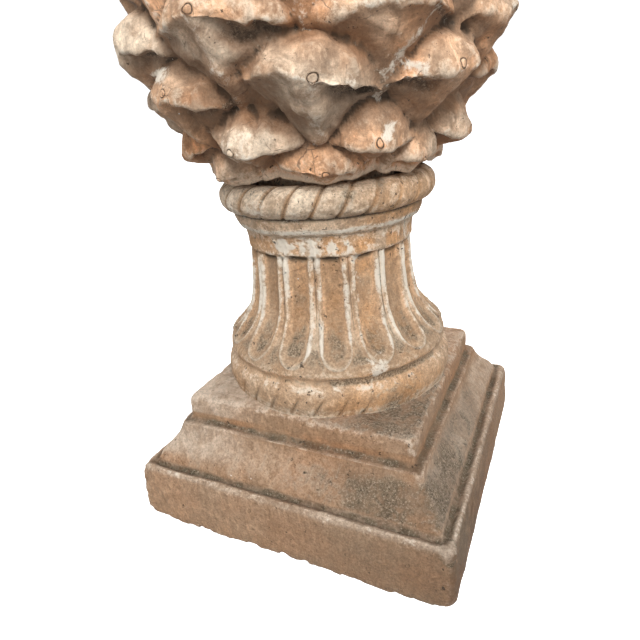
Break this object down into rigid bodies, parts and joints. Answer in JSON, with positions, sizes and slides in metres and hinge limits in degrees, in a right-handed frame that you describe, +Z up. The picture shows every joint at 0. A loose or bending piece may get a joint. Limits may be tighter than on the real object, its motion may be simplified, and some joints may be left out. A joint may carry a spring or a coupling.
{
  "type": "pinecone finial",
  "caption": "Terracotta pinecone finial that stands by its own weight: a pinecone of overlapping scales on a waisted, fluted pedestal with a rope collar and a square moulded base.",
  "frame": {"origin": "middle of the square underside, on the surface that the finial stands on", "axes": "+Z up along the finial's axis, X and Y along the sides of the square base, -Y the front"},
  "size_m": [0.3606, 0.3606, 0.7577],
  "materials": {
    "pedestal_clay": "matt weathered terracotta with lime bloom on its ribs and grey-olive growth in its hollows",
    "pinecone_clay": "matt weathered terracotta, paler on the faces of the scales and orange-brown under them"
  },
  "bodies": {
    "root": {"pedestal": "pedestal_clay", "pinecone": "pinecone_clay"}
  },
  "joints": []
}
